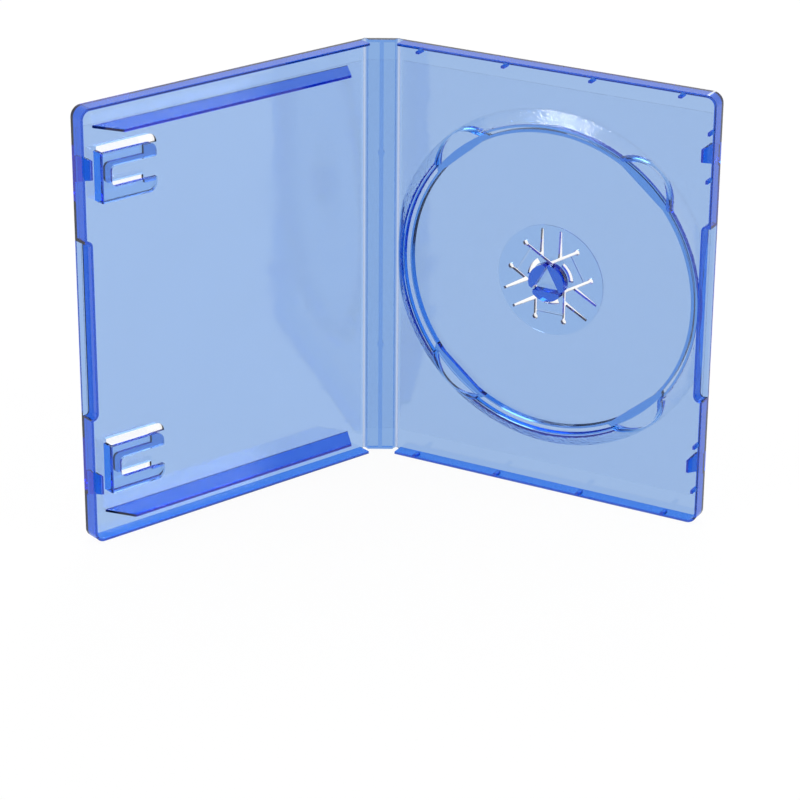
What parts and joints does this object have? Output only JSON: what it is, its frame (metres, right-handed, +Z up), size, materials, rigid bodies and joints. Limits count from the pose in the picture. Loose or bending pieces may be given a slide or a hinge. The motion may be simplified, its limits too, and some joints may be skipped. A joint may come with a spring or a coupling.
{
  "type": "game disc case",
  "caption": "Hinged translucent disc case standing open: front cover with booklet clips, narrow spine and a disc tray with a gripping hub.",
  "frame": {"origin": "middle of the spine's foot, on the surface the case stands on", "axes": "+X along the spine's width towards the disc tray, -Y out of the open side, +Z up the spine"},
  "size_m": [0.2346, 0.0918, 0.171],
  "materials": {
    "case_plastic": "glossy moulded, translucent",
    "sleeve_film": "clear glossy film"
  },
  "bodies": {
    "spine": {"spine": "case_plastic", "spine_film": "sleeve_film"},
    "cover": {"front_cover": "case_plastic", "front_film": "sleeve_film"},
    "tray": {"disc_tray": "case_plastic", "back_film": "sleeve_film"}
  },
  "joints": [
    {"name": "cover_hinge", "type": "hinge", "parent": "spine", "child": "cover", "pos_m": [-0.0067, 0.00055, 0], "axis": [0, 0, 1], "range_deg": [-39.4, 50.6]},
    {"name": "tray_hinge", "type": "hinge", "parent": "spine", "child": "tray", "pos_m": [0.0067, 0.00055, 0], "axis": [0, 0, -1], "range_deg": [-28.5, 61.5]}
  ]
}
